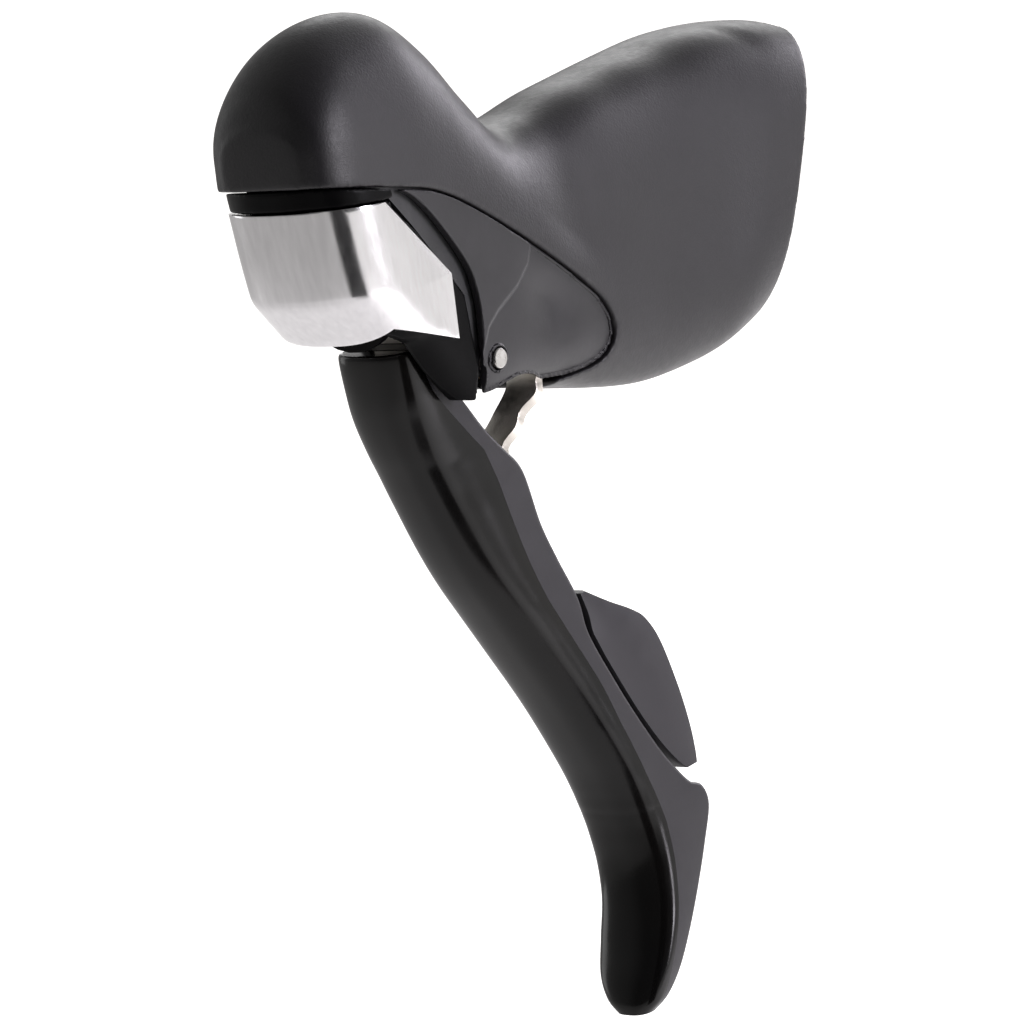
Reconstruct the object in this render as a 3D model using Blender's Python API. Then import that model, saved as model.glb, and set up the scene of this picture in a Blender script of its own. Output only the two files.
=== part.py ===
"""Left-hand brake and shift lever for a drop handlebar, as an assembly.

World frame, metres, +Z up.  The lever points along -Y, the rider's left hand
side is +X.  The origin lies on the handlebar's axis at the clamp's middle.
All lengths below are in millimetres, drawn about a datum on the hood's rear
opening.  new_object moves them by DATUM_SHIFT and makes them metres.
"""
import math

import bmesh
import bpy
from mathutils import Vector

MM = 0.001
GAP = 0.3

# driving dimensions
BAR_RADIUS = 12.0
BAR_TILT = math.radians(28.0)
BAR_SETBACK = 6.5
BAR_BEND = 3.5
CLAMP_BOLT_REACH = 34.0
PIN_Y, PIN_Z = -73.0, -12.0
PIN_RADIUS = 2.6
PIN_HALF_LENGTH = 14.6
SHIFT_AXIS_Z = 6.0
AXLE_RADIUS = 3.0
HOOD_WALL = 2.0
COVER_SINK = 0.5
BRACKET_INSET = 2.35
CHEEK_INNER = 11.0
HEAD_HALF_WIDTH = 14.9
PLATE_WALL = 1.2
BLADE_EDGE = 1.0
BLADE_BULGE = 2.7
BLADE_WEB = 3.8
FLANGE_WALL = 2.6
CLAMP_HALF = 6.0
COVER_INSIDE = 11.3
HOUSING_WALL = 1.3
RIVET_HEIGHTS = (-12.0, -18.6)
REACH_SCREW_X, REACH_SCREW_Z = -7.0, 15.5
PAWL_X, PAWL_Z = -8.2, 15.8
WINDING_PAWL_ORIGIN = (8.6, -82.5, 12.0)
HOOK_Y, HOOK_Z = -74.4, 15.8
PLATE_SCREW_Y, PLATE_SCREW_Z = -92.0, 9.0
SEAT_FRONT, SEAT_REAR = -43.4, -35.4
WIRE_RADIUS = 1.0
# cable seats: name, x, z, radius
CABLE_SEATS = (("brake_cable_seat", 8.0, 9.5, 3.0), ("shift_cable_seat", 7.0, -6.0, 2.6))

BAR_UP = Vector((0.0, math.sin(BAR_TILT), math.cos(BAR_TILT)))
BAR_FORWARD = Vector((0.0, -math.cos(BAR_TILT), math.sin(BAR_TILT)))
DATUM_SHIFT = BAR_FORWARD * BAR_SETBACK
PIN = Vector((0.0, PIN_Y, PIN_Z))
SHIFT_AXIS = Vector((0.0, 0.0, SHIFT_AXIS_Z))

# hood: top point (y, z), bottom point (y, z), half width, one row per section
HOOD_SECTIONS = (
    ((25.0, 20.9), (-2.5, -28.8), 18.1),
    ((15.5, 23.3), (-11.0, -30.3), 17.6),
    ((1.0, 25.0), (-20.0, -30.5), 16.0),
    ((-15.0, 25.0), (-31.0, -29.6), 14.8),
    ((-32.0, 24.2), (-43.0, -26.6), 14.6),
    ((-46.0, 22.6), (-54.0, -23.0), 14.9),
    ((-56.0, 24.2), (-64.5, -20.6), 15.1),
    ((-63.2, 33.2), (-76.0, -19.4), 15.2),
    ((-69.2, 42.4), (-84.0, -13.0), 15.2),
    ((-76.0, 48.8), (-92.0, -5.0), 15.1),
    ((-85.6, 50.5), (-98.5, 4.0), 14.4),
    ((-94.4, 48.4), (-102.8, 13.0), 13.6),
    ((-101.2, 43.2), (-104.4, 19.0), 12.0),
    ((-104.0, 37.0), (-105.2, 25.0), 9.0),
)
# front edge of the hood's side, seen from the side, top to bottom
HOOD_EDGE = ((-104.0, 26.4), (-89.0, 22.2), (-80.6, 19.3), (-72.2, 14.2), (-59.0, 3.8),
             (-47.4, -6.8), (-43.4, -11.8), (-42.4, -16.6), (-44.4, -20.2), (-49.0, -21.6),
             (-57.0, -21.8))
# rear edge of the side covers where it turns under the hood's seam, then their lower edge
COVER_LOW = ((-44.2, -12.1), (-43.2, -16.4), (-45.0, -19.4), (-49.4, -20.8), (-56.8, -20.9),
             (-60.0, -19.4), (-63.4, -17.8), (-67.4, -16.8))
# front edge of the side covers, top to bottom
COVER_EDGE = ((-90.3, 21.4), (-84.7, 14.0), (-76.4, 0.7), (-76.0, -9.6), (-75.2, -17.2))
# side outlines, (y, z)
HEAD_ROOM = ((-130.0, 26.8), (-104.0, 26.8), (-91.0, 22.6), (-85.3, 14.0), (-77.2, 0.7),
             (-77.2, -40.0), (-130.0, -40.0))
CAVITY = ((-130.0, 20.8), (-64.0, 20.8), (-56.0, 16.5), (-48.5, 12.0), (-46.0, 8.0), (-45.0, -6.0),
          (-48.0, -18.0), (-53.0, -34.0), (-130.0, -34.0))
TRIM_OUTLINE = ((-120.0, 23.2), (-104.0, 23.0), (-93.2, 21.4), (-90.9, 21.2), (-90.9, 22.3),
                (-104.0, 26.1), (-120.0, 26.1))
HOUSING_OUTLINE = ((-120.0, 20.4), (-91.4, 20.4), (-85.6, 13.6), (-77.4, 0.4), (-77.6, -12.0),
                   (-79.4, -17.4), (-82.4, -16.4), (-84.6, -13.6), (-87.3, -9.6), (-90.4, -4.0),
                   (-97.0, 0.5), (-120.0, 2.5))
PLATE_OUTLINE = ((-120.0, 22.7), (-104.0, 22.4), (-93.4, 20.9), (-87.6, 13.4), (-81.2, 5.2),
                 (-82.6, -5.6), (-95.6, 0.0), (-98.6, -2.2), (-120.0, -1.0))
# blade, seen from the side: z, front edge y, rear edge y, half width, sideways flare
BLADE_SECTIONS = (
    (-6.3, -86.3, -81.5, 7.1, 0.3),
    (-7.0, -87.0, -81.5, 7.7, 0.3),
    (-14.0, -86.8, -81.5, 7.9, 0.3),
    (-18.5, -86.2, -81.4, 8.0, 0.3),
    (-24.0, -85.1, -75.2, 8.0, 0.7),
    (-28.5, -83.9, -70.6, 8.0, 1.1),
    (-33.5, -82.6, -67.4, 8.0, 1.5),
    (-43.0, -80.0, -66.7, 8.0, 2.4),
    (-50.0, -77.6, -65.2, 8.0, 3.2),
    (-57.5, -74.4, -63.4, 8.0, 4.2),
    (-64.0, -71.6, -63.5, 8.0, 5.1),
    (-73.0, -67.9, -61.1, 8.0, 6.5),
    (-80.0, -65.4, -58.7, 8.0, 7.5),
    (-88.0, -63.0, -55.3, 7.9, 8.6),
    (-92.5, -62.0, -52.6, 7.8, 9.2),
    (-95.4, -61.7, -50.4, 7.7, 9.6),
    (-97.0, -61.5, -47.8, 7.7, 9.8),
    (-100.5, -61.4, -47.5, 7.6, 10.3),
    (-106.0, -61.9, -51.4, 7.6, 11.1),
    (-112.0, -63.4, -56.0, 7.6, 11.7),
    (-118.0, -66.2, -60.8, 7.6, 12.1),
    (-123.5, -69.6, -65.2, 6.9, 12.6),
    (-127.2, -71.6, -68.6, 5.4, 13.2),
    (-129.4, -72.6, -70.8, 3.2, 13.6),
)
# release paddle: z, front y, rear y, sideways flare
PADDLE_SECTIONS = (
    (-57.0, -62.7, -61.2, 3.6),
    (-60.8, -62.3, -55.8, 4.1),
    (-63.6, -62.6, -51.4, 4.5),
    (-66.0, -62.2, -48.8, 4.9),
    (-70.8, -60.9, -46.9, 5.6),
    (-79.4, -58.1, -46.2, 6.9),
    (-86.0, -55.2, -46.3, 7.8),
    (-90.5, -52.4, -46.8, 8.3),
    (-92.8, -50.4, -47.4, 8.6),
)
# release arm: middle x, y, z and half width
RELEASE_ARM = (
    (1.5, -60.0, 4.0, 7.0),
    (5.0, -60.0, -6.0, 5.2),
    (6.9, -60.0, -14.0, 3.7),
    (7.2, -60.4, -20.5, 3.4),
    (5.4, -64.6, -25.5, 3.0),
    (3.4, -68.6, -31.0, 3.2),
    (3.2, -69.2, -40.0, 3.2),
    (4.0, -67.6, -49.0, 3.2),
    (5.6, -62.0, -57.5, 3.0),
    (8.2, -57.4, -65.0, 2.6),
    (9.4, -55.4, -70.0, 2.4),
)
ARM_WALL = 1.8
# front face of the lever head: z and the middle's y
HEAD_SECTIONS = ((27.0, -105.6), (22.0, -105.4), (14.0, -105.0), (7.0, -103.8),
                 (2.0, -101.8), (-2.0, -98.4), (-6.0, -93.4), (-20.0, -86.0))
HEAD_CORNER = 12.0
HEAD_REAR = -74.0
HEAD_POWER = 2.6

# how finely curves are drawn
HOOD_STEPS = 2
HOOD_SIDES = 28
HEAD_STEPS = 14
BLADE_STEPS = 12
ARM_STEPS = 2
WIRE_SIDES = 5
WIRE_STEPS = 10


def clear_scene():
    for item in list(bpy.data.objects):
        bpy.data.objects.remove(item, do_unlink=True)


def material(name, colour, roughness, metallic=0.0):
    made = bpy.data.materials.new(name)
    made.use_nodes = True
    shader = made.node_tree.nodes["Principled BSDF"]
    shader.inputs["Base Color"].default_value = (*colour, 1.0)
    shader.inputs["Roughness"].default_value = roughness
    shader.inputs["Metallic"].default_value = metallic
    made.diffuse_color = (*colour, 1.0)
    return made


def new_object(name, points, faces):
    """A closed mesh object from points in millimetres."""
    mesh = bpy.data.meshes.new(name)
    mesh.from_pydata([(Vector(point) + DATUM_SHIFT) * MM for point in points], [], faces)
    shape = bmesh.new()
    shape.from_mesh(mesh)
    bmesh.ops.triangulate(shape, faces=[face for face in shape.faces if len(face.verts) > 4])
    bmesh.ops.recalc_face_normals(shape, faces=shape.faces)
    shape.to_mesh(mesh)
    shape.free()
    made = bpy.data.objects.new(name, mesh)
    bpy.context.scene.collection.objects.link(made)
    return made


def loft(name, loops):
    """A solid through closed loops of equal length, capped at both ends."""
    count = len(loops[0])
    points = [point for loop in loops for point in loop]
    faces = []
    for row in range(len(loops) - 1):
        for index in range(count):
            following = (index + 1) % count
            faces.append((row * count + index, row * count + following,
                          (row + 1) * count + following, (row + 1) * count + index))
    faces.append(tuple(range(count)))
    faces.append(tuple((len(loops) - 1) * count + index for index in range(count)))
    return new_object(name, points, faces)


def side_prism(name, outline, low=-40.0, high=40.0):
    """A prism along X from an outline of (y, z)."""
    return loft(name, [[(x, y, z) for y, z in outline] for x in (low, high)])


def face_prism(name, outline, rear, front):
    """A prism along Y from an outline of (x, z)."""
    return loft(name, [[(x, y, z) for x, z in outline] for y in (front, rear)])


def box(name, low, high):
    outline = ((low[1], low[2]), (high[1], low[2]), (high[1], high[2]), (low[1], high[2]))
    return side_prism(name, outline, low[0], high[0])


def ring_points(centre, axis, radius, sides):
    axis = Vector(axis).normalized()
    across = axis.orthogonal().normalized()
    other = axis.cross(across)
    points = []
    for index in range(sides):
        angle = math.tau * index / sides
        points.append(Vector(centre) + (across * math.cos(angle) + other * math.sin(angle)) * radius)
    return points


def rod(name, start, end, radius, sides=20):
    """A straight round bar between two points."""
    axis = Vector(end) - Vector(start)
    return loft(name, [ring_points(point, axis, radius, sides) for point in (start, end)])


def apply_modifiers(target):
    graph = bpy.context.evaluated_depsgraph_get()
    graph.update()
    mesh = bpy.data.meshes.new_from_object(target.evaluated_get(graph))
    target.modifiers.clear()
    target.data = mesh


def combine(target, tool, operation):
    """Joins, cuts or intersects the target with the tool, which is used up."""
    step = target.modifiers.new("combine", "BOOLEAN")
    step.operation = operation
    step.solver = "EXACT"
    step.object = tool
    apply_modifiers(target)
    bpy.data.objects.remove(tool, do_unlink=True)
    return target


def cut(target, *tools):
    for tool in tools:
        combine(target, tool, "DIFFERENCE")
    return target


def join(target, *tools):
    for tool in tools:
        combine(target, tool, "UNION")
    return target


def common(target, tool):
    return combine(target, tool, "INTERSECT")


def spline(rows, steps):
    """Rows of numbers, smoothed by a Catmull-Rom curve with steps per span."""
    rows = [tuple(row) for row in rows]
    smooth = []
    for index in range(len(rows) - 1):
        before = rows[max(index - 1, 0)]
        here, there = rows[index], rows[index + 1]
        after = rows[min(index + 2, len(rows) - 1)]
        for step in range(steps):
            t = step / steps
            smooth.append(tuple(
                0.5 * (2 * b + (c - a) * t + (2 * a - 5 * b + 4 * c - d) * t * t
                       + (3 * b - a - 3 * c + d) * t ** 3)
                for a, b, c, d in zip(before, here, there, after)))
    smooth.append(rows[-1])
    return smooth


def superellipse(half_width, half_height, top_power, low_power, sides):
    points = []
    for index in range(sides):
        angle = math.tau * (index + 0.5) / sides
        cosine, sine = math.cos(angle), math.sin(angle)
        power = top_power if sine > 0 else low_power
        points.append((math.copysign(abs(cosine) ** (2 / power), cosine) * half_width,
                       math.copysign(abs(sine) ** (2 / power), sine) * half_height))
    return points


def ease(value, low, high):
    """0 before low, 1 after high, smooth between."""
    t = min(1.0, max(0.0, (value - low) / (high - low)))
    return t * t * (3 - 2 * t)


def hood_loop(section, share, inset):
    """One section of the hood; share runs from 0 at its rear to 1 at its front."""
    top_y, top_z, low_y, low_z, width = section
    top, low = Vector((0.0, top_y, top_z)), Vector((0.0, low_y, low_z))
    middle = (top + low) / 2
    middle.y += inset * max(0.0, (share - 0.75) / 0.25)
    upright = (top - low) / 2
    direction = upright.normalized()
    top_power = 3.2 - 0.4 * ease(share, 0.0, 0.25) - 0.7 * ease(share, 0.5, 0.8)
    low_power = 2.8 + 3.0 * min(1.0, share * 2.0)
    outline = superellipse(width - inset, upright.length - inset, top_power, low_power,
                           HOOD_SIDES)
    return [middle + Vector((x, 0.0, 0.0)) + direction * height for x, height in outline]


def hood_solid(name, inset, rear_reach=0.0):
    """The hood's outer shape, drawn in by inset all round."""
    rows = spline([(*top, *bottom, width) for top, bottom, width in HOOD_SECTIONS], HOOD_STEPS)
    loops = [hood_loop(row, order / (len(rows) - 1), inset) for order, row in enumerate(rows)]
    loops[0] = [point - BAR_FORWARD * rear_reach for point in loops[0]]
    return loft(name, loops)


def front_of(edge):
    """Side outline of everything in front of and below an edge line."""
    first, last = edge[0], edge[-1]
    return [(-130.0, first[1] + 1.0), *edge, (last[0], -70.0), (-130.0, -70.0)]


def head_solid(name, inset, rear=HEAD_REAR):
    """The lever head: level sections with a rounded front."""
    width = HEAD_HALF_WIDTH - inset
    loops = []
    for z, front in HEAD_SECTIONS:
        front += inset
        corner = min(HEAD_CORNER, rear - 1.0 - front)
        loop = [(width, rear, z)]
        for step in range(HEAD_STEPS + 1):
            angle = math.pi * step / HEAD_STEPS
            cosine, sine = math.cos(angle), math.sin(angle)
            x = math.copysign(abs(cosine) ** (2 / HEAD_POWER), cosine) * width
            y = front + corner - abs(sine) ** (2 / HEAD_POWER) * corner
            loop.append((x, y, z))
        loop.append((-width, rear, z))
        loops.append(loop)
    return loft(name, loops)


def coil(name, start, end, radius, wire, turns):
    """A round wire wound about the line from start to end."""
    start, end = Vector(start), Vector(end)
    axis = (end - start).normalized()
    across = axis.orthogonal().normalized()
    other = axis.cross(across)
    loops = []
    count = turns * WIRE_STEPS
    for step in range(count + 1):
        share = step / count
        angle = math.tau * turns * share
        outward = across * math.cos(angle) + other * math.sin(angle)
        middle = start.lerp(end, share) + outward * radius
        loops.append([middle + (outward * math.cos(a) + axis * math.sin(a)) * wire
                      for a in (math.tau * k / WIRE_SIDES for k in range(WIRE_SIDES))])
    return loft(name, loops)


def ring(name, start, end, inner, outer, sides=24):
    """A sleeve between two points."""
    axis = (Vector(end) - Vector(start)).normalized()
    made = rod(name, start, end, outer, sides)
    return cut(made, rod("bore", Vector(start) - axis, Vector(end) + axis, inner, sides))


def on_bar(x, forward, up):
    """A point given from the bar's axis, ahead of it and up along it."""
    return Vector((x, 0.0, 0.0)) + BAR_FORWARD * (forward - BAR_SETBACK) + BAR_UP * up


def on_axle(y):
    return Vector((0.0, y, SHIFT_AXIS_Z))


def lever_hole(radius):
    return rod("hole", (-30.0, PIN_Y, PIN_Z), (30.0, PIN_Y, PIN_Z), radius)


def axle_hole(radius):
    return rod("hole", on_axle(-110.0), on_axle(-40.0), radius)


def make_bracket_body():
    body = hood_solid("bracket_body", BRACKET_INSET)
    cut(body, rod("bar", on_bar(0, 0, -60), on_bar(0, 0, 60), BAR_RADIUS + 0.2, 40))
    cut(body, bar_block("behind", 40.0, -60.0, 0.8, 60.0))
    cut(body, side_prism("head_room", HEAD_ROOM))
    cut(body, side_prism("cavity", CAVITY, -CHEEK_INNER, CHEEK_INNER))
    cut(body, lever_hole(PIN_RADIUS + GAP))
    cut_clamp_room(body)
    cut(body, rod("screw_way", (REACH_SCREW_X, -60.0, REACH_SCREW_Z),
                  (REACH_SCREW_X, -36.0, REACH_SCREW_Z), 1.8, 14))
    for name, x, z, radius in CABLE_SEATS:
        cut(body, rod(name, (x, SEAT_FRONT - GAP, z), (x, 10.0, z), radius + GAP, 18))
        cut(body, rod("wire_way", (x, -60.0, z), (x, SEAT_FRONT, z), WIRE_RADIUS, 14))
    return body


def cut_clamp_room(body):
    """Room for the clamp band, its lug, and the bolt that pulls it forward."""
    half = CLAMP_HALF + 0.6
    reach = CLAMP_BOLT_REACH
    cut(body, rod("band_room", on_bar(0, 0, -half), on_bar(0, 0, half), BAR_RADIUS + 1.8, 40))
    cut(body, bar_block("lug_room", 5.1, 1.0, 20.6, 5.1))
    cut(body, rod("bolt_way", on_bar(0, 15, 0), on_bar(0, reach + 2, 0), 3.3))
    cut(body, rod("head_way", on_bar(0, reach, 0), on_bar(0, 70, 0), 5.3))


def bar_block(name, half_width, near, far, half_height):
    """A block in front of the bar, square to it."""
    corners = [on_bar(0, near, -half_height), on_bar(0, far, -half_height),
               on_bar(0, far, half_height), on_bar(0, near, half_height)]
    return side_prism(name, [(corner.y, corner.z) for corner in corners], -half_width, half_width)


def make_hood():
    hood = hood_solid("hood", 0.0)
    cut(hood, hood_solid("inside", HOOD_WALL, rear_reach=6.0))
    cut(hood, side_prism("front", front_of(HOOD_EDGE)))
    return cut(hood, rod("bent_bar", on_bar(0, -BAR_BEND, -60), on_bar(0, -BAR_BEND, 60),
                         BAR_RADIUS + 0.4, 40))


def make_side_cover(name, side):
    cover = hood_solid(name, COVER_SINK)
    cut(cover, hood_solid("inside", BRACKET_INSET - GAP))
    seam = [(y - 0.4, z - 0.4) for y, z in HOOD_EDGE[1:6]]
    outline = [*seam, *COVER_LOW, *reversed(COVER_EDGE)]
    low, high = (COVER_INSIDE, 30.0) if side > 0 else (-30.0, -COVER_INSIDE)
    common(cover, side_prism("outline", outline, low, high))
    return cut(cover, lever_hole(PIN_RADIUS + 0.7))


def make_front_trim():
    return common(head_solid("front_trim", 0.3), side_prism("outline", TRIM_OUTLINE))


def make_lever_pin():
    return rod("lever_pin", (-PIN_HALF_LENGTH, PIN_Y, PIN_Z), (PIN_HALF_LENGTH, PIN_Y, PIN_Z),
               PIN_RADIUS, 28)


def make_clamp():
    band = rod("clamp_band", on_bar(0, 0, -CLAMP_HALF), on_bar(0, 0, CLAMP_HALF),
               BAR_RADIUS + 1.4, 40)
    join(band, bar_block("lug", 4.8, 11.0, 20.2, 4.8))
    cut(band, rod("bore", on_bar(0, 0, -8), on_bar(0, 0, 8), BAR_RADIUS + 0.2, 40))
    cut(band, rod("thread", on_bar(0, 8, 0), on_bar(0, 24, 0), 3.3))
    reach = CLAMP_BOLT_REACH
    bolt = rod("clamp_bolt", on_bar(0, 13.0, 0), on_bar(0, reach + 1.8, 0), 3.0)
    join(bolt, rod("head", on_bar(0, reach + 1.5, 0), on_bar(0, reach + 7.5, 0), 4.8))
    cut(bolt, rod("socket", on_bar(0, reach + 4.5, 0), on_bar(0, reach + 9, 0), 2.8, 6))
    washer = ring("clamp_washer", on_bar(0, reach + 0.3, 0), on_bar(0, reach + 1.2, 0), 3.3, 4.9)
    return [band, bolt, washer]


def make_cable_seats():
    return [ring(name, (x, SEAT_FRONT, z), (x, SEAT_REAR, z), WIRE_RADIUS, radius, 18)
            for name, x, z, radius in CABLE_SEATS]


def make_reach_screw():
    return rod("reach_screw", (REACH_SCREW_X, -65.6, REACH_SCREW_Z),
               (REACH_SCREW_X, -37.0, REACH_SCREW_Z), 1.5, 14)


def make_brake_return_spring():
    return coil("brake_return_spring", (-6.8, PIN_Y, PIN_Z), (6.8, PIN_Y, PIN_Z), 3.8, 0.6, 7)


def make_lever_carrier():
    carrier = box("lever_carrier", (-10.6, -69.5, -9.0), (10.6, -66.0, 18.8))
    for side in (-1, 1):
        join(carrier, carrier_ear(side), hook_lug(side))
    cut(carrier, lever_hole(3.9))
    cut(carrier, axle_hole(AXLE_RADIUS + GAP))
    return cut(carrier, rod("hook_hole", (-12.0, HOOK_Y, HOOK_Z), (12.0, HOOK_Y, HOOK_Z), 1.4, 14))


def carrier_ear(side):
    """Ear about the lever pin, with the arm that joins it to the carrier's plate."""
    inner, outer = sorted((side * 8.2, side * 10.6))
    outline = ((-77.0, -9.0), (-66.0, -15.0), (-66.0, 3.0), (-70.0, 3.0))
    ear = rod("ear", (inner, PIN_Y, PIN_Z), (outer, PIN_Y, PIN_Z), 5.2, 24)
    return join(ear, side_prism("arm", outline, inner, outer))


def hook_lug(side):
    inner, outer = sorted((side * 4.6, side * 6.8))
    outline = ((-77.0, 13.0), (-67.0, 13.0), (-67.0, 18.6), (-77.0, 18.6))
    return side_prism("lug", outline, inner, outer)


def make_bush(name, side):
    inner, outer = side * 7.9, side * 10.6
    bush = rod(name, (inner, PIN_Y, PIN_Z), (outer, PIN_Y, PIN_Z), 3.6, 24)
    return cut(bush, lever_hole(PIN_RADIUS + GAP))


def make_unit_housing():
    housing = head_solid("unit_housing", PLATE_WALL + GAP)
    cut(housing, head_solid("inside", PLATE_WALL + GAP + HOUSING_WALL, rear=-60.0))
    common(housing, side_prism("outline", HOUSING_OUTLINE))
    join(housing, housing_roof())
    cut(housing, box("swing_room", (-20.0, -97.0, -30.0), (0.0, -60.0, -0.6)))
    cut(housing, box("blade_room", (-20.0, -97.0, -30.0), (9.2, -60.0, -3.0)))
    return cut(housing, plate_screw_hole(1.5))


def housing_roof():
    roof = head_solid("roof", PLATE_WALL + GAP + 0.1)
    return common(roof, box("slab", (-30.0, -120.0, 19.0), (30.0, -90.3, 20.3)))


def screw_rod(name, left, right, radius, sides):
    """A round bar along the name plate's screw, between two values of x."""
    return rod(name, (left, PLATE_SCREW_Y, PLATE_SCREW_Z), (right, PLATE_SCREW_Y, PLATE_SCREW_Z),
               radius, sides)


def plate_screw_hole(radius):
    return screw_rod("hole", -25.0, -8.0, radius, 14)


def make_name_plate():
    plate = head_solid("name_plate", 0.0)
    cut(plate, head_solid("inside", PLATE_WALL, rear=-60.0))
    common(plate, side_prism("outline", PLATE_OUTLINE))
    cut(plate, box("swing_room", (-20.0, -95.0, -30.0), (-8.0, -60.0, 2.0)))
    return cut(plate, plate_screw_hole(1.7))


def make_plate_screw():
    screw = screw_rod("plate_screw", -15.3, -11.5, 1.2, 14)
    return join(screw, screw_rod("head", -16.4, -15.2, 2.4, 16))


def make_axle_parts():
    axle = rod("shift_axle", on_axle(-96.2), on_axle(-55.4), AXLE_RADIUS, 20)
    nut = rod("axle_nut", on_axle(-95.8), on_axle(-92.6), 5.0, 6)
    cut(nut, axle_hole(AXLE_RADIUS + GAP))
    spacer = ring("axle_spacer", on_axle(-79.3), on_axle(-69.8), AXLE_RADIUS + GAP, 4.8)
    return [axle, nut, spacer]


def make_position_plate():
    plate = rod("position_plate", on_axle(-92.2), on_axle(-90.4), 11.0, 28)
    join(plate, box("tab", (-11.0, -92.1, 6.0), (-3.0, -90.5, 18.0)))
    cut(plate, axle_hole(AXLE_RADIUS + GAP))
    return cut(plate, pawl_rod("post_hole", -95.0, -85.0, 1.6, 12))


def pawl_rod(name, front, rear, radius, sides):
    """A round bar along the holding pawl's axis, between two values of y."""
    return rod(name, (PAWL_X, front, PAWL_Z), (PAWL_X, rear, PAWL_Z), radius, sides)


def make_pawl_post():
    return pawl_rod("pawl_post", -92.6, -81.6, 1.3, 14)


def make_ratchet_wheel():
    teeth = 22
    outline = []
    for index in range(teeth):
        angle = math.tau * index / teeth
        for turn, radius in ((0.0, 7.4), (0.17, 8.6)):
            outline.append((math.cos(angle + turn) * radius,
                            SHIFT_AXIS_Z + math.sin(angle + turn) * radius))
    wheel = face_prism("ratchet_wheel", outline, -81.6, -83.2)
    return cut(wheel, axle_hole(AXLE_RADIUS + GAP))


def make_cable_drum():
    profile = ((-90.0, 10.0), (-88.9, 10.0), (-88.1, 8.4), (-86.4, 8.4), (-85.6, 10.0),
               (-83.6, 10.0))
    drum = loft("cable_drum", [ring_points(on_axle(y), (0, 1, 0), radius, 30)
                               for y, radius in profile])
    return cut(drum, axle_hole(AXLE_RADIUS + GAP))


def make_holding_pawl():
    outline = ((-8.2, 18.2), (-10.2, 17.4), (-10.6, 15.2), (-9.2, 13.4), (-6.8, 12.4),
               (-5.9, 12.9), (-6.0, 16.6))
    pawl = face_prism("holding_pawl", outline, -81.8, -83.1)
    return cut(pawl, pawl_rod("hole", -95.0, -75.0, 1.6, 12))


def around_axle(*points):
    """(x, z) points from (radius, degrees) about the shift axle."""
    return [(radius * math.cos(math.radians(turn)),
             SHIFT_AXIS_Z + radius * math.sin(math.radians(turn))) for radius, turn in points]


def make_winding_pawl():
    outline = around_axle((9.5, 52), (10.7, 52), (10.7, 30), (10.5, 12), (9.9, 0), (8.95, -6),
                          (9.3, 10), (9.5, 30))
    return face_prism("winding_pawl", outline, -81.9, -83.1)


def make_main_lever_plate():
    plate = rod("main_lever_plate", on_axle(-81.2), on_axle(-79.7), 8.0, 28)
    arm = ((-6.5, 2.0), (6.5, 2.0), (5.3, -12.0), (5.0, -23.0), (-5.0, -23.0), (-5.3, -12.0))
    join(plate, face_prism("arm", arm, -79.7, -81.2))
    tab = around_axle((5.0, 5), (10.6, 8), (10.8, 30), (10.6, 55), (5.0, 58))
    join(plate, face_prism("pawl_tab", tab, -79.7, -81.2))
    cut(plate, axle_hole(AXLE_RADIUS + GAP))
    return cut(plate, *rivet_holes())


def rivet_holes():
    return [rod("hole", (0.0, -100.0, z), (0.0, -70.0, z), 1.9, 14) for z in RIVET_HEIGHTS]


def make_blade_rivets():
    rivets = []
    for name, z in zip(("blade_rivet_upper", "blade_rivet_lower"), RIVET_HEIGHTS):
        shank = rod(name, (0.0, -84.6, z), (0.0, -78.9, z), 1.6, 14)
        rivets.append(join(shank, rod("head", (0.0, -79.4, z), (0.0, -78.5, z), 2.6, 16)))
    return rivets


def front_arc(width, flare, edge, z):
    """Rounded front of the blade, from its left edge to its right edge."""
    arc = []
    bulge = BLADE_BULGE * min(1.0, width / 8.0)
    for step in range(BLADE_STEPS + 1):
        angle = math.pi * step / BLADE_STEPS
        cosine, sine = math.cos(angle), math.sin(angle)
        x = flare + math.copysign(abs(cosine) ** 0.85, cosine) * width
        arc.append((x, edge - BLADE_EDGE - abs(sine) ** 0.85 * bulge, z))
    return arc


def make_blade_face():
    loops = []
    for z, front, _, width, flare in BLADE_SECTIONS:
        arc = front_arc(width, flare, front, z)
        loops.append([(flare + width, front, z), *arc, (flare - width, front, z)])
    face = loft("blade_face", loops)
    for z in RIVET_HEIGHTS:
        cut(face, rod("hole", (0.0, -85.2, z), (0.0, -70.0, z), 1.9, 14))
    return face


def make_blade_core():
    """Web behind the face, with a flange along the outer side."""
    loops = []
    for z, front, rear, width, flare in BLADE_SECTIONS:
        start = front + GAP
        web = min(start + BLADE_WEB, rear - 0.8)
        left, right = flare + width, flare - width
        inner = left - FLANGE_WALL
        solid_share = min(1.0, max(0.0, (-94.0 - z) / 3.0))
        step_y = web + (rear - web) * 0.5 * solid_share
        loops.append([(left, start, z), (right, start, z), (right, web, z),
                      (inner - 1.0, step_y, z), (inner, step_y, z), (inner, rear, z),
                      (left - 0.8, rear, z), (left, rear - 0.8, z)])
    core = loft("blade_core", loops)
    return cut(core, *rivet_holes())


def make_main_lever_spring():
    return coil("main_lever_spring", on_axle(-78.6), on_axle(-70.8), 6.1, 0.6, 4)


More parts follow.
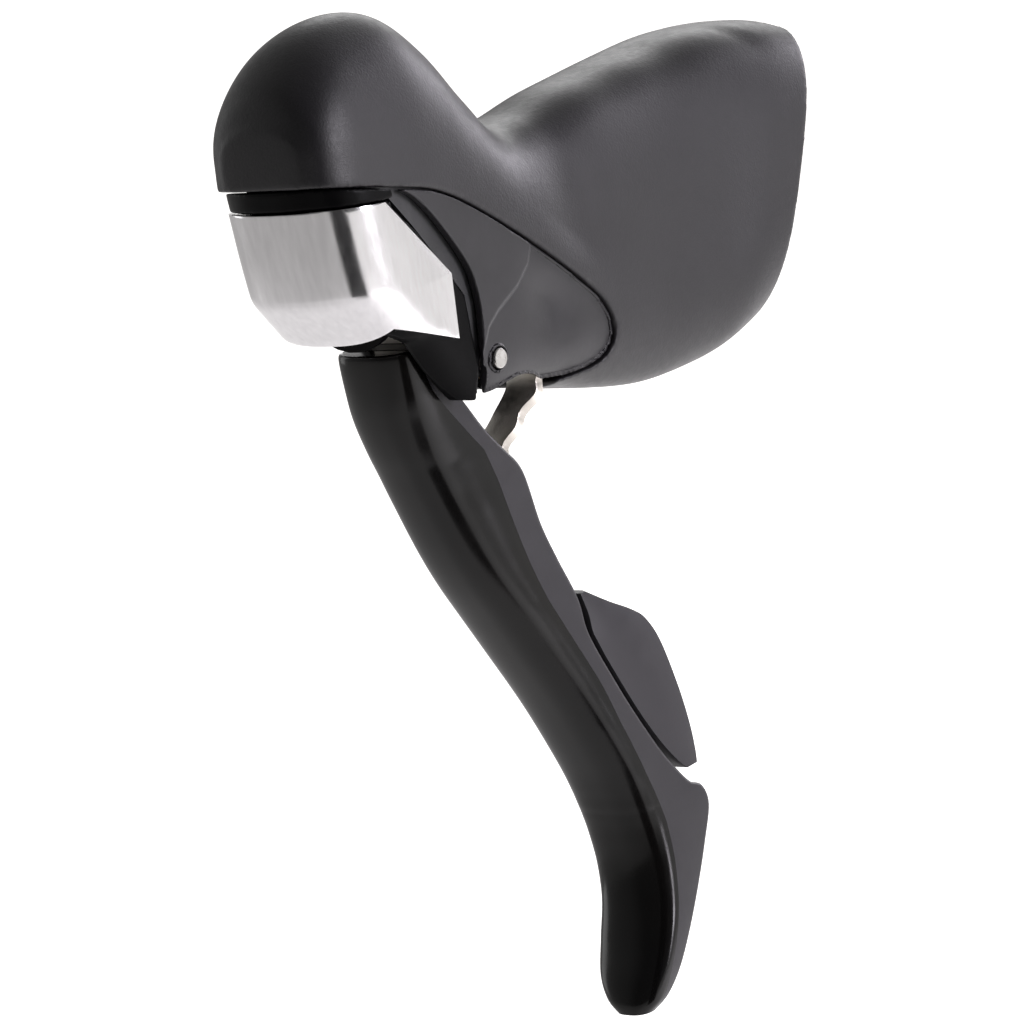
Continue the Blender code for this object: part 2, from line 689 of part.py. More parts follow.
def arm_loops(extra):
    loops = []
    rows = spline(RELEASE_ARM, ARM_STEPS)
    for index, (x, y, z, half) in enumerate(rows):
        before, after = rows[max(index - 1, 0)], rows[min(index + 1, len(rows) - 1)]
        along = Vector((0.0, after[1] - before[1], after[2] - before[2])).normalized()
        normal = Vector((0.0, -along.z, along.y)) * (ARM_WALL / 2 + extra)
        middle = Vector((x, y, z))
        wide = Vector((half + extra, 0.0, 0.0))
        loops.append([middle - wide - normal, middle + wide - normal, middle + wide + normal,
                      middle - wide + normal])
    return loops


def make_release_plate():
    plate = rod("release_plate", on_axle(-61.0), on_axle(-59.0), 8.0, 28)
    join(plate, loft("arm", arm_loops(0.0)))
    return cut(plate, axle_hole(AXLE_RADIUS + GAP))


def make_release_paddle():
    loops = []
    for z, front, rear, flare in PADDLE_SECTIONS:
        left, right = flare + 8.5, flare + 1.5
        loops.append([(left, front, z), (right, front, z), (right, rear - 0.9, z),
                      (right + 1.2, rear, z), (left - 1.0, rear, z), (left, rear - 0.6, z)])
    paddle = loft("release_paddle", loops)
    return cut(paddle, loft("arm_slot", arm_loops(GAP)))


def make_release_spring():
    return coil("release_spring", on_axle(-58.2), on_axle(-56.4), 4.6, 0.5, 2)


def make_cable_hook():
    hook = rod("cable_hook", (-4.2, HOOK_Y, HOOK_Z), (4.2, HOOK_Y, HOOK_Z), 2.3, 20)
    join(hook, rod("trunnion", (-6.7, HOOK_Y, HOOK_Z), (6.7, HOOK_Y, HOOK_Z), 1.1, 14))
    return cut(hook, rod("wire_hole", (0.0, -80.0, HOOK_Z), (0.0, -70.0, HOOK_Z), 0.8, 10))


def place(pivot, finish, *pieces):
    """Gives pieces their material and puts their origins on their joint's axis."""
    pivot = (Vector(pivot) + DATUM_SHIFT) * MM
    for made in pieces:
        for vertex in made.data.vertices:
            vertex.co -= pivot
        made.location = pivot
        made.data.materials.clear()
        made.data.materials.append(finish)
        made.data.shade_smooth()
        made.data.set_sharp_from_angle(angle=math.radians(35.0))


def main():
    clear_scene()
    rubber = material("hood_rubber", (0.022, 0.022, 0.024), 0.62)
    dark = material("bracket_composite", (0.03, 0.03, 0.032), 0.5)
    gloss = material("gloss_black", (0.012, 0.012, 0.014), 0.16)
    grey = material("matte_grey", (0.10, 0.095, 0.105), 0.45, 0.4)
    silver = material("satin_silver", (0.60, 0.60, 0.61), 0.24, 1.0)
    steel = material("steel", (0.50, 0.49, 0.47), 0.34, 1.0)

    origin = -DATUM_SHIFT
    place(origin, rubber, make_hood())
    place(origin, dark, make_bracket_body(), make_front_trim(),
          make_side_cover("side_cover_left", 1), make_side_cover("side_cover_right", -1))
    place(origin, steel, make_lever_pin(), *make_clamp(), *make_cable_seats(),
          make_reach_screw(), make_brake_return_spring())

    place(PIN, gloss, make_lever_carrier(), make_unit_housing())
    place(PIN, silver, make_name_plate())
    place(PIN, steel, make_bush("bush_left", 1), make_bush("bush_right", -1),
          make_plate_screw(), *make_axle_parts(), make_position_plate(), make_pawl_post())

    place(SHIFT_AXIS, gloss, make_blade_face())
    place(SHIFT_AXIS, grey, make_blade_core(), make_release_paddle())
    place(SHIFT_AXIS, steel, make_main_lever_plate(), *make_blade_rivets(),
          make_main_lever_spring(), make_release_plate(), make_release_spring(),
          make_ratchet_wheel(), make_cable_drum())
    place(WINDING_PAWL_ORIGIN, steel, make_winding_pawl())
    place((PAWL_X, -82.5, PAWL_Z), steel, make_holding_pawl())
    place((0.0, HOOK_Y, HOOK_Z), steel, make_cable_hook())


main()
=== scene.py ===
"""Looks of the left-hand brake and shift lever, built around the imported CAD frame.

Shapes are drawn in millimetres about the same datum as the CAD part, and seat()
moves them into the frame.  The datum comes from where the frame has the lever pin.
"""
import math

import bmesh
import bpy
from mathutils import Matrix, Vector


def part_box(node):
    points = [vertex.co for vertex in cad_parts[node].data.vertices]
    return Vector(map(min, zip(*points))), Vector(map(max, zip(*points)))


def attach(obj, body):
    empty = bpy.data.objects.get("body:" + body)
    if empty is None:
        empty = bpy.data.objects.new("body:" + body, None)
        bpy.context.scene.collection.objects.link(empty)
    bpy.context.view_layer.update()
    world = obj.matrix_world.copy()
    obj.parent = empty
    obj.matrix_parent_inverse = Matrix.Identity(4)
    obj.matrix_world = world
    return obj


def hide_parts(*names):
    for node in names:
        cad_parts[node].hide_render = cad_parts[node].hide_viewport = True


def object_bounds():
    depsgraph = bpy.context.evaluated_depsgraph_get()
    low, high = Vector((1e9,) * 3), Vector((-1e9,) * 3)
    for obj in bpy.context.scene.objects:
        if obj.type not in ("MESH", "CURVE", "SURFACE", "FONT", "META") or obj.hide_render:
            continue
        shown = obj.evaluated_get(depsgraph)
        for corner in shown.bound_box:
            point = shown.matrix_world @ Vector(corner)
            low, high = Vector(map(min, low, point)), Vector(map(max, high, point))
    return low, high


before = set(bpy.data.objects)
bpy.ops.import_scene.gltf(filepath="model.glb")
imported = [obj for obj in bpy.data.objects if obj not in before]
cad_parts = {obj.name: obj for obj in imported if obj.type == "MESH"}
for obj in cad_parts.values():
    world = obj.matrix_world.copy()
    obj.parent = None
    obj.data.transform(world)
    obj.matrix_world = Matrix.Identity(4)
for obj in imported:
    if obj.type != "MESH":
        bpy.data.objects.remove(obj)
cad_low, cad_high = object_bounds()

MM = 0.001
PIN_Y, PIN_Z = -73.0, -12.0
PIN_LOW, PIN_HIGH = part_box("lever_pin")
DATUM = (PIN_LOW + PIN_HIGH) / 2 - Vector((0.0, PIN_Y, PIN_Z)) * MM
TO_FRAME = Matrix.Translation(DATUM) @ Matrix.Scale(MM, 4)

# driving dimensions, as in the CAD part
BAR_RADIUS = 12.0
BAR_TILT = math.radians(28.0)
BAR_SETBACK = 6.5
BAR_BEND = 3.5
BEND_RADIUS = 50.0
SHIFT_AXIS_Z = 6.0
AXLE_RADIUS = 3.0
HOOD_WALL = 2.0
COVER_SINK = 0.5
BRACKET_INSET = 2.35
HEAD_HALF_WIDTH = 14.9
HEAD_CORNER = 12.0
HEAD_REAR = -74.0
PLATE_WALL = 1.2
BLADE_EDGE = 1.0
BLADE_BULGE = 2.7
BLADE_WEB = 3.8
FLANGE_WALL = 2.6
ARM_WALL = 1.8
GAP = 0.3
COVER_GAP = 0.28
COVER_INSIDE = 11.3
FRONT_LIP_INSIDE = 13.75
PIN_RADIUS = 2.6
PIN_END_RADIUS = 1.7
NOSE_DEPTH, NOSE_STEPS = 1.6, 6
PIN_HALF_LENGTH = 14.45
PIN_CHAMFER = 0.2
PADDLE_CLOSE = 0.35
PADDLE_OUTSIDE, PADDLE_INSIDE = 8.5, 1.5
HOUSING_WALL = 1.3
PLATE_SCREW_Y, PLATE_SCREW_Z = -92.0, 9.0
RELEASE_ARM_Y = (-61.0, -59.0)
RELEASE_HUB_RADIUS = 8.0
EDGE_WAVE = 0.45          # height of the waves along the release arm's edge
EDGE_WAVE_RATE = 1.35     # radians per millimetre
HEAD_POWER = 2.6

# how finely the shapes are drawn
HOOD_STEPS, HOOD_SIDES = 8, 112
INSIDE_STEPS, INSIDE_SIDES = 5, 72
EDGE_STEPS = 6
HEAD_STEPS = 6
ARC_STEPS = 56
PADDLE_STEPS = 6
ARM_STEPS = 8
HOOD_VOXEL = 0.40
COVER_VOXEL = 0.24
TRIM_VOXEL = 0.28
HOUSING_VOXEL = 0.26

BAR_UP = Vector((0.0, math.sin(BAR_TILT), math.cos(BAR_TILT)))
BAR_FORWARD = Vector((0.0, -math.cos(BAR_TILT), math.sin(BAR_TILT)))

# hood: top point (y, z), bottom point (y, z), half width, one row per section
HOOD_SECTIONS = (
    ((25.0, 20.9), (-2.5, -28.8), 18.08),
    ((15.5, 23.3), (-11.0, -30.3), 17.6),
    ((1.0, 25.0), (-20.0, -30.5), 16.0),
    ((-15.0, 25.0), (-31.0, -29.6), 14.8),
    ((-32.0, 24.2), (-43.0, -26.6), 14.6),
    ((-46.0, 22.6), (-54.0, -23.0), 14.9),
    ((-56.0, 24.2), (-64.5, -20.6), 15.1),
    ((-63.2, 33.2), (-76.0, -19.4), 15.2),
    ((-69.2, 42.4), (-84.0, -13.0), 15.2),
    ((-76.0, 48.8), (-92.0, -5.0), 15.1),
    ((-85.6, 50.3), (-98.5, 4.0), 14.4),
    ((-94.4, 48.4), (-102.8, 13.0), 13.6),
    ((-101.2, 43.2), (-104.4, 19.0), 12.0),
    ((-104.0, 37.0), (-105.2, 25.0), 9.0),
)
HOOD_EDGE = ((-104.0, 26.4), (-89.0, 22.2), (-80.6, 19.3), (-72.2, 14.2), (-59.0, 3.8),
             (-47.4, -6.8), (-43.4, -11.8), (-42.4, -16.4), (-44.6, -19.6), (-49.0, -20.9),
             (-57.0, -20.8))
COVER_EDGE = ((-88.4, 21.6), (-85.8, 19.7), (-82.4, 15.6), (-79.1, 10.4), (-76.4, 5.2), (-75.6, 1.5),
              (-75.5, -2.0), (-76.0, -6.2), (-77.0, -11.0), (-77.7, -15.2), (-77.3, -17.2))
COVER_LOW = ((-74.6, -17.2), (-71.0, -16.7), (-67.4, -16.6), (-63.4, -17.8), (-60.6, -19.8),
             (-57.4, -21.6))
# the fold across the side cover, from the hood's seam to the cover's front edge
COVER_FOLD = ((-56.0, 9.0), (-59.6, 4.0), (-61.5, 0.8), (-65.0, -1.7), (-71.2, -4.2),
              (-74.3, -6.2), (-76.0, -8.8), (-79.0, -14.0))
# blade, seen from the side: z, front edge y, rear edge y, half width, sideways flare
BLADE_SECTIONS = (
    (-6.3, -86.3, -81.5, 7.1, 0.3),
    (-7.0, -87.0, -81.5, 7.7, 0.3),
    (-14.0, -86.8, -79.6, 7.9, 0.3),
    (-18.5, -86.2, -76.8, 8.0, 0.3),
    (-24.0, -85.1, -73.8, 8.0, 0.7),
    (-28.5, -83.9, -70.6, 8.0, 1.1),
    (-33.5, -82.6, -67.4, 8.0, 1.5),
    (-43.0, -80.0, -66.7, 8.0, 2.4),
    (-50.0, -77.6, -65.2, 8.0, 3.2),
    (-57.5, -74.4, -63.4, 8.0, 4.2),
    (-64.0, -71.6, -63.5, 8.0, 5.1),
    (-73.0, -67.9, -61.1, 8.0, 6.5),
    (-80.0, -65.4, -58.7, 8.0, 7.5),
    (-88.0, -63.0, -55.3, 7.95, 8.6),
    (-92.5, -62.1, -52.6, 7.85, 9.2),
    (-95.4, -61.75, -50.4, 7.8, 9.6),
    (-97.0, -61.6, -47.8, 7.75, 9.8),
    (-100.5, -61.5, -47.5, 7.7, 10.3),
    (-106.0, -61.9, -51.4, 7.65, 11.05),
    (-112.0, -63.4, -56.0, 7.6, 11.7),
    (-118.0, -66.2, -60.8, 7.58, 12.1),
    (-123.5, -69.6, -65.2, 6.9, 12.6),
    (-127.2, -71.6, -68.6, 5.4, 13.2),
    (-129.39, -72.6, -70.8, 3.2, 13.6),
)
# release paddle: z, front y, rear y, sideways flare
PADDLE_SECTIONS = (
    (-57.0, -62.7, -61.2, 3.6),
    (-60.8, -62.3, -55.8, 4.1),
    (-63.6, -62.6, -51.4, 4.5),
    (-66.0, -62.2, -48.8, 4.9),
    (-70.8, -60.9, -46.9, 5.6),
    (-79.4, -58.1, -46.2, 6.9),
    (-86.0, -55.2, -46.3, 7.8),
    (-90.5, -52.4, -46.8, 8.3),
    (-92.8, -50.4, -47.4, 8.6),
)
# release arm: middle x, y, z and half width
RELEASE_ARM = (
    (1.5, -60.0, 4.0, 7.0),
    (5.0, -60.0, -6.0, 5.2),
    (6.9, -60.0, -14.0, 3.7),
    (7.2, -60.4, -20.5, 3.4),
    (5.4, -64.6, -25.5, 3.0),
    (3.4, -68.6, -31.0, 3.2),
    (3.2, -69.2, -40.0, 3.2),
    (4.0, -67.6, -49.0, 3.2),
    (5.6, -62.0, -57.5, 3.0),
    (8.2, -57.4, -65.0, 2.6),
    (9.4, -55.4, -70.0, 2.4),
)
# front face of the lever head: z and the middle's y
HEAD_SECTIONS = ((27.0, -105.6), (22.0, -105.4), (14.0, -105.1), (8.6, -104.7), (6.9, -104.4),
                 (5.6, -103.8), (4.0, -102.7), (1.0, -100.6), (-2.4, -98.0), (-6.0, -93.4),
                 (-20.0, -86.0))


# ---------------------------------------------------------------- mesh helpers

def new_object(name, points, faces):
    """A mesh object in millimetres."""
    mesh = bpy.data.meshes.new(name)
    mesh.from_pydata([Vector(point) for point in points], [], faces)
    shape = bmesh.new()
    shape.from_mesh(mesh)
    bmesh.ops.recalc_face_normals(shape, faces=shape.faces)
    shape.to_mesh(mesh)
    shape.free()
    made = bpy.data.objects.new(name, mesh)
    bpy.context.scene.collection.objects.link(made)
    return made


def loft(name, loops, capped=True):
    """A surface through closed loops of equal length."""
    count = len(loops[0])
    points = [point for loop in loops for point in loop]
    faces = []
    for row in range(len(loops) - 1):
        for index in range(count):
            following = (index + 1) % count
            faces.append((row * count + index, row * count + following,
                          (row + 1) * count + following, (row + 1) * count + index))
    if capped:
        faces.append(tuple(range(count)))
        faces.append(tuple((len(loops) - 1) * count + index for index in range(count)))
    return new_object(name, points, faces)


def side_prism(name, outline, low=-40.0, high=40.0):
    return loft(name, [[(x, y, z) for y, z in outline] for x in (low, high)])


def box(name, low, high):
    outline = ((low[1], low[2]), (high[1], low[2]), (high[1], high[2]), (low[1], high[2]))
    return side_prism(name, outline, low[0], high[0])


def ring_points(centre, axis, radius, sides):
    axis = Vector(axis).normalized()
    across = axis.orthogonal().normalized()
    other = axis.cross(across)
    return [Vector(centre) + (across * math.cos(turn) + other * math.sin(turn)) * radius
            for turn in (math.tau * index / sides for index in range(sides))]


def rod(name, start, end, radius, sides=48):
    axis = Vector(end) - Vector(start)
    return loft(name, [ring_points(point, axis, radius, sides) for point in (start, end)])


def turned(name, start, axis, profile, sides=64):
    """A turned solid: profile rows are (distance along the axis, radius)."""
    axis = Vector(axis).normalized()
    return loft(name, [ring_points(Vector(start) + axis * along, axis, radius, sides)
                       for along, radius in profile])


def apply_modifiers(target):
    graph = bpy.context.evaluated_depsgraph_get()
    graph.update()
    mesh = bpy.data.meshes.new_from_object(target.evaluated_get(graph))
    target.modifiers.clear()
    target.data = mesh
    return target


def combine(target, tool, operation):
    step = target.modifiers.new("combine", "BOOLEAN")
    step.operation = operation
    step.solver = "EXACT"
    step.object = tool
    apply_modifiers(target)
    bpy.data.objects.remove(tool, do_unlink=True)
    return target


def cut(target, *tools):
    for tool in tools:
        combine(target, tool, "DIFFERENCE")
    return target


def join(target, *tools):
    for tool in tools:
        combine(target, tool, "UNION")
    return target


def common(target, tool):
    return combine(target, tool, "INTERSECT")


def bevel(target, width, segments=3, angle=35.0):
    step = target.modifiers.new("bevel", "BEVEL")
    step.width = width
    step.segments = segments
    step.limit_method = "ANGLE"
    step.angle_limit = math.radians(angle)
    step.use_clamp_overlap = True
    return apply_modifiers(target)


def remesh(target, voxel, smoothing):
    """One even skin, with its edges rounded by smoothing passes."""
    step = target.modifiers.new("skin", "REMESH")
    step.mode = "VOXEL"
    step.voxel_size = voxel
    apply_modifiers(target)
    if smoothing:
        step = target.modifiers.new("soften", "SMOOTH")
        step.factor = 0.5
        step.iterations = smoothing
        apply_modifiers(target)
    return target


def push(target, amount):
    """Moves each point along its normal by amount(point, normal), in millimetres."""
    mesh = target.data
    normals = [Vector(item.vector) for item in mesh.vertex_normals]
    for vertex, normal in zip(mesh.vertices, normals):
        distance = amount(vertex.co, normal)
        if distance:
            vertex.co += normal * distance
    mesh.update()
    return target


def shade(target, angle=None):
    target.data.shade_smooth()
    if angle:
        target.data.set_sharp_from_angle(angle=math.radians(angle))
    return target


def seat(target, body, finish, slot, *nodes, angle=None):
    """Moves a finished piece into the frame, where it stands for its CAD nodes."""
    shade(target, angle)
    target.data.transform(TO_FRAME)
    target.data.materials.clear()
    target.data.materials.append(finish)
    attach(target, body)
    if nodes:
        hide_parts(*nodes)
    return target


def spline(rows, steps):
    """Rows of numbers, smoothed by a Catmull-Rom curve with steps per span."""
    rows = [tuple(row) for row in rows]
    smooth = []
    for index in range(len(rows) - 1):
        before = rows[max(index - 1, 0)]
        here, there = rows[index], rows[index + 1]
        after = rows[min(index + 2, len(rows) - 1)]
        for step in range(steps):
            t = step / steps
            smooth.append(tuple(
                0.5 * (2 * b + (c - a) * t + (2 * a - 5 * b + 4 * c - d) * t * t
                       + (3 * b - a - 3 * c + d) * t ** 3)
                for a, b, c, d in zip(before, here, there, after)))
    smooth.append(rows[-1])
    return smooth


def ease(value, low, high):
    """0 before low, 1 after high, smooth between."""
    t = min(1.0, max(0.0, (value - low) / (high - low)))
    return t * t * (3 - 2 * t)


def along_line(outline, value, index=0):
    """Linear reading of a polyline of pairs, at value of its index-th number."""
    other = 1 - index
    rows = sorted(outline, key=lambda row: row[index])
    if value <= rows[0][index]:
        return rows[0][other]
    for here, there in zip(rows, rows[1:]):
        if value <= there[index]:
            share = (value - here[index]) / max(1e-9, there[index] - here[index])
            return here[other] + (there[other] - here[other]) * share
    return rows[-1][other]


def line_distance(point, outline):
    """Signed distance of (y, z) to a polyline: positive on its left, walking along it."""
    best, sign = 1e9, 1.0
    py, pz = point
    for (ay, az), (by, bz) in zip(outline, outline[1:]):
        dy, dz = by - ay, bz - az
        length = dy * dy + dz * dz
        t = min(1.0, max(0.0, ((py - ay) * dy + (pz - az) * dz) / length))
        distance = math.hypot(py - ay - dy * t, pz - az - dz * t)
        if distance < best:
            best = distance
            sign = 1.0 if dy * (pz - az) - dz * (py - ay) > 0 else -1.0
    return best * sign


# ---------------------------------------------------------------- shared shapes

def superellipse(half_width, half_height, top_power, low_power, sides):
    points = []
    for index in range(sides):
        angle = math.tau * (index + 0.5) / sides
        cosine, sine = math.cos(angle), math.sin(angle)
        power = top_power if sine > 0 else low_power
        points.append((math.copysign(abs(cosine) ** (2 / power), cosine) * half_width,
                       math.copysign(abs(sine) ** (2 / power), sine) * half_height))
    return points


def hood_solid(name, inset, steps=HOOD_STEPS, sides=HOOD_SIDES, rear_reach=0.0, rim=0.0):
    """The hood's outer shape, drawn in by inset all round."""
    rows = spline([(*top, *bottom, width) for top, bottom, width in HOOD_SECTIONS], steps)
    loops = []
    for order, (top_y, top_z, low_y, low_z, width) in enumerate(rows):
        top, low = Vector((0.0, top_y, top_z)), Vector((0.0, low_y, low_z))
        middle = (top + low) / 2
        upright = (top - low) / 2
        if order == 0:
            inset += rim
        elif order == 1:
            inset -= rim
        half = upright.length - inset
        share = order / (len(rows) - 1)
        middle.y += inset * max(0.0, (share - 0.75) / 0.25)
        top_power = 3.2 - 0.4 * ease(share, 0.0, 0.25) - 0.7 * ease(share, 0.5, 0.8)
        low_power = 2.8 + 3.0 * min(1.0, share * 2.0)
        direction = upright.normalized()
        loops.append([middle + Vector((x, 0.0, 0.0)) + direction * height for x, height in
                      superellipse(width - inset, half, top_power, low_power, sides)])
    loops += nose_loops(loops[-1], NOSE_DEPTH, NOSE_STEPS)
    if rear_reach:
        shift = -BAR_FORWARD * rear_reach
        loops[0] = [point + shift for point in loops[0]]
    return loft(name, loops)


def nose_loops(last, depth, count):
    """Closes the front of the hood with a shallow dome."""
    middle = sum(last, Vector()) / len(last)
    loops = []
    for step in range(1, count + 1):
        turn = math.pi / 2 * step / (count + 0.5)
        shrink = math.cos(turn)
        forward = Vector((0.0, -depth * math.sin(turn) * 0.25, 0.0))
        loops.append([middle + (point - middle) * shrink + forward for point in last])
    return loops


def front_of(edge):
    """Side outline of everything in front of and below an edge line."""
    first, last = edge[0], edge[-1]
    return [(-130.0, first[1] + 0.2), *edge, (last[0], -70.0), (-130.0, -70.0)]


def on_bar(x, forward, up):
    """A point given from the bar's axis, ahead of it and up along it."""
    return Vector((x, 0.0, 0.0)) + BAR_FORWARD * (forward - BAR_SETBACK) + BAR_UP * up


def on_axle(y, x=0.0, z=0.0):
    return Vector((x, y, SHIFT_AXIS_Z + z))


def lever_hole(radius):
    return rod("hole", (-30.0, PIN_Y, PIN_Z), (30.0, PIN_Y, PIN_Z), radius)


def axle_hole(radius):
    return rod("hole", on_axle(-110.0), on_axle(-40.0), radius)


def head_front(z):
    return along_line(HEAD_ROWS, z)


HEAD_ROWS = spline(HEAD_SECTIONS, HEAD_STEPS)


def head_arc(z, inset, rear):
    """The lever head's level outline at z, from its left rear to its right rear."""
    front = head_front(z) + inset
    width = HEAD_HALF_WIDTH - inset
    corner = min(HEAD_CORNER, rear - 1.0 - front)
    outline = []
    for step in range(ARC_STEPS + 1):
        angle = math.pi * step / ARC_STEPS
        cosine, sine = math.cos(angle), math.sin(angle)
        outline.append((math.copysign(abs(cosine) ** (2 / HEAD_POWER), cosine) * width,
                        front + corner - abs(sine) ** (2 / HEAD_POWER) * corner, z))
    return outline


def head_solid(name, inset, rear=HEAD_REAR):
    loops = []
    width = HEAD_HALF_WIDTH - inset
    for z, _ in HEAD_ROWS:
        loops.append([(width, rear, z), *head_arc(z, inset, rear), (-width, rear, z)])
    return loft(name, loops)


# ---------------------------------------------------------------- materials

NOISE_SPAN = (0.3, 0.7)      # where noise values mostly lie


def nodes_of(material):
    tree = material.node_tree
    return tree, tree.nodes, tree.links


def noise(tree, scale, detail=4.0, stretch=(1.0, 1.0, 1.0)):
    """Noise in the object's own space; scale is in cycles per metre."""
    place = tree.nodes.new("ShaderNodeTexCoord")
    spread = tree.nodes.new("ShaderNodeMapping")
    spread.inputs["Scale"].default_value = stretch
    made = tree.nodes.new("ShaderNodeTexNoise")
    made.inputs["Scale"].default_value = scale
    made.inputs["Detail"].default_value = detail
    tree.links.new(place.outputs["Object"], spread.inputs["Vector"])
    tree.links.new(spread.outputs["Vector"], made.inputs["Vector"])
    return made.outputs["Fac"]


def ramp(tree, value, low, high, start, end):
    """Maps value from low..high to start..end."""
    made = tree.nodes.new("ShaderNodeMapRange")
    made.inputs["From Min"].default_value = low
    made.inputs["From Max"].default_value = high
    made.inputs["To Min"].default_value = start
    made.inputs["To Max"].default_value = end
    tree.links.new(value, made.inputs["Value"])
    return made.outputs["Result"]


def bump(tree, height, depth, after=None):
    """Raises the surface by up to depth, in millimetres, on top of another bump."""
    made = tree.nodes.new("ShaderNodeBump")
    made.inputs["Strength"].default_value = 1.0
    made.inputs["Distance"].default_value = depth * MM
    tree.links.new(height, made.inputs["Height"])
    if after:
        tree.links.new(after, made.inputs["Normal"])
    return made.outputs["Normal"]


def multiply(tree, first, second):
    made = tree.nodes.new("ShaderNodeMath")
    made.operation = "MULTIPLY"
    tree.links.new(first, made.inputs[0])
    tree.links.new(second, made.inputs[1])
    return made.outputs["Value"]


def painted_edge_highlight(tree, low=0.5, high=0.56):
    """Mask for a painted highlight along edges: 0 on open faces, 1 on outer edges."""
    shape = tree.nodes.new("ShaderNodeNewGeometry")
    return ramp(tree, shape.outputs["Pointiness"], low, high, 0.0, 1.0)


def mix_colour(tree, share, first, second):
    made = tree.nodes.new("ShaderNodeMix")
    made.data_type = "RGBA"
    tree.links.new(share, made.inputs["Factor"])
    for index, colour in ((6, first), (7, second)):
        if isinstance(colour, tuple):
            made.inputs[index].default_value = (*colour, 1.0)
        else:
            tree.links.new(colour, made.inputs[index])
    return made.outputs[2]


def surface(name, colours, tone_scale, roughness, rough_scale, grain, metallic=0.0,
            stretch=(1.0, 1.0, 1.0), edge=None, specular=0.5):
    """A finish: two tones blended by noise, uneven roughness, and layers of fine grain; edge, when
    given, is the colour of a painted highlight along outer edges.

    grain is a list of (scale, depth in mm, stretch).
    """
    made = bpy.data.materials.new(name)
    made.use_nodes = True
    tree, nodes, links = nodes_of(made)
    shader = nodes["Principled BSDF"]
    tone = ramp(tree, noise(tree, tone_scale, 5.0, stretch), *NOISE_SPAN, 0.0, 1.0)
    colour = mix_colour(tree, tone, *colours)
    # painted highlight: outer edges are lightened towards the edge colour
    if edge:
        colour = mix_colour(tree, painted_edge_highlight(tree), colour, edge)
    links.new(colour, shader.inputs["Base Color"])
    links.new(ramp(tree, noise(tree, rough_scale, 3.0, stretch), *NOISE_SPAN, *roughness),
              shader.inputs["Roughness"])
    normal = None
    for scale, depth, shape in grain:
        normal = bump(tree, noise(tree, scale, 3.0, shape), depth, normal)
    if normal:
        links.new(normal, shader.inputs["Normal"])
    shader.inputs["Metallic"].default_value = metallic
    shader.inputs["Specular IOR Level"].default_value = specular
    return made


EVEN = (1.0, 1.0, 1.0)
RUBBER = surface("rubber", ((0.0138, 0.0129, 0.0148), (0.0168, 0.0158, 0.0180)), 90.0,
                 (0.40, 0.47), 700.0, [(2600.0, 0.035, EVEN), (900.0, 0.02, EVEN)],
                 specular=0.38)
COVER = surface("moulded_cover", ((0.0142, 0.0134, 0.0156), (0.0200, 0.0190, 0.0218)), 140.0,
                (0.33, 0.39), 700.0, [(4200.0, 0.012, EVEN), (900.0, 0.012, EVEN)],
                specular=0.4)
COMPOSITE = surface("bracket_composite", ((0.012, 0.012, 0.013), (0.022, 0.022, 0.024)), 200.0,
                    (0.42, 0.58), 500.0, [(3500.0, 0.02, EVEN), (900.0, 0.03, EVEN)])
GLOSS = surface("gloss_black", ((0.0020, 0.0019, 0.0021), (0.0048, 0.0040, 0.0036)), 60.0,
                (0.14, 0.20), 180.0, [(260.0, 0.006, EVEN), (2400.0, 0.0015, EVEN)],
                specular=0.34)
BLACK = surface("black_housing", ((0.0016, 0.0016, 0.0019), (0.0030, 0.0029, 0.0031)), 90.0,
                (0.30, 0.38), 240.0, [(1800.0, 0.006, EVEN)], specular=0.07)
# its edge colour is a painted highlight along the blade core's edges
GREY = surface("matte_grey", ((0.0148, 0.0140, 0.0160), (0.0200, 0.0190, 0.0216)), 110.0,
               (0.36, 0.44), 320.0, [(5200.0, 0.008, EVEN), (600.0, 0.012, EVEN)],
               edge=(0.034, 0.032, 0.036), specular=0.26)
# a darker copy of the matte grey: painted shade on the release paddle, with a painted highlight
# along its edges
PADDLE = surface("paddle_grey_painted_shade", ((0.0095, 0.0093, 0.0103), (0.0135, 0.0131, 0.0142)), 110.0,
                 (0.36, 0.46), 320.0, [(5200.0, 0.008, EVEN), (600.0, 0.012, EVEN)],
                 edge=(0.034, 0.032, 0.036), specular=0.24)
SILVER = surface("satin_silver", ((0.70, 0.69, 0.70), (0.78, 0.77, 0.78)), 900.0,
                 (0.15, 0.21), 1500.0, [(5200.0, 0.0012, (1.0, 1.0, 0.08))], metallic=1.0,
                 stretch=(1.0, 1.0, 0.2))
STEEL = surface("steel", ((0.42, 0.41, 0.39), (0.56, 0.55, 0.53)), 400.0,
                (0.24, 0.38), 1200.0, [(2600.0, 0.006, EVEN), (700.0, 0.008, EVEN)],
                metallic=1.0)
# its edge colour is a painted highlight along the pressed steel's edges
PRESSED = surface("pressed_steel", ((0.24, 0.22, 0.20), (0.36, 0.34, 0.31)), 500.0,
                  (0.30, 0.42), 900.0, [(2200.0, 0.010, EVEN)], metallic=1.0,
                  edge=(0.80, 0.76, 0.70))
SPRING = surface("spring_steel", ((0.20, 0.20, 0.21), (0.34, 0.33, 0.33)), 900.0,
                 (0.30, 0.45), 1500.0, [(2600.0, 0.006, EVEN)], metallic=1.0)
BRASS = surface("sintered_bush", ((0.36, 0.27, 0.15), (0.48, 0.38, 0.22)), 1600.0,
                (0.35, 0.5), 1900.0, [(3000.0, 0.012, EVEN)], metallic=1.0)


# ---------------------------------------------------------------- hood and bracket

def dent(along_one, along_other, centre, spread):
    """1 at the centre, falling smoothly to 0 over the spread."""
    one = (along_one - centre[0]) / spread[0]
    other = (along_other - centre[1]) / spread[1]
    return math.exp(-(one * one + other * other))


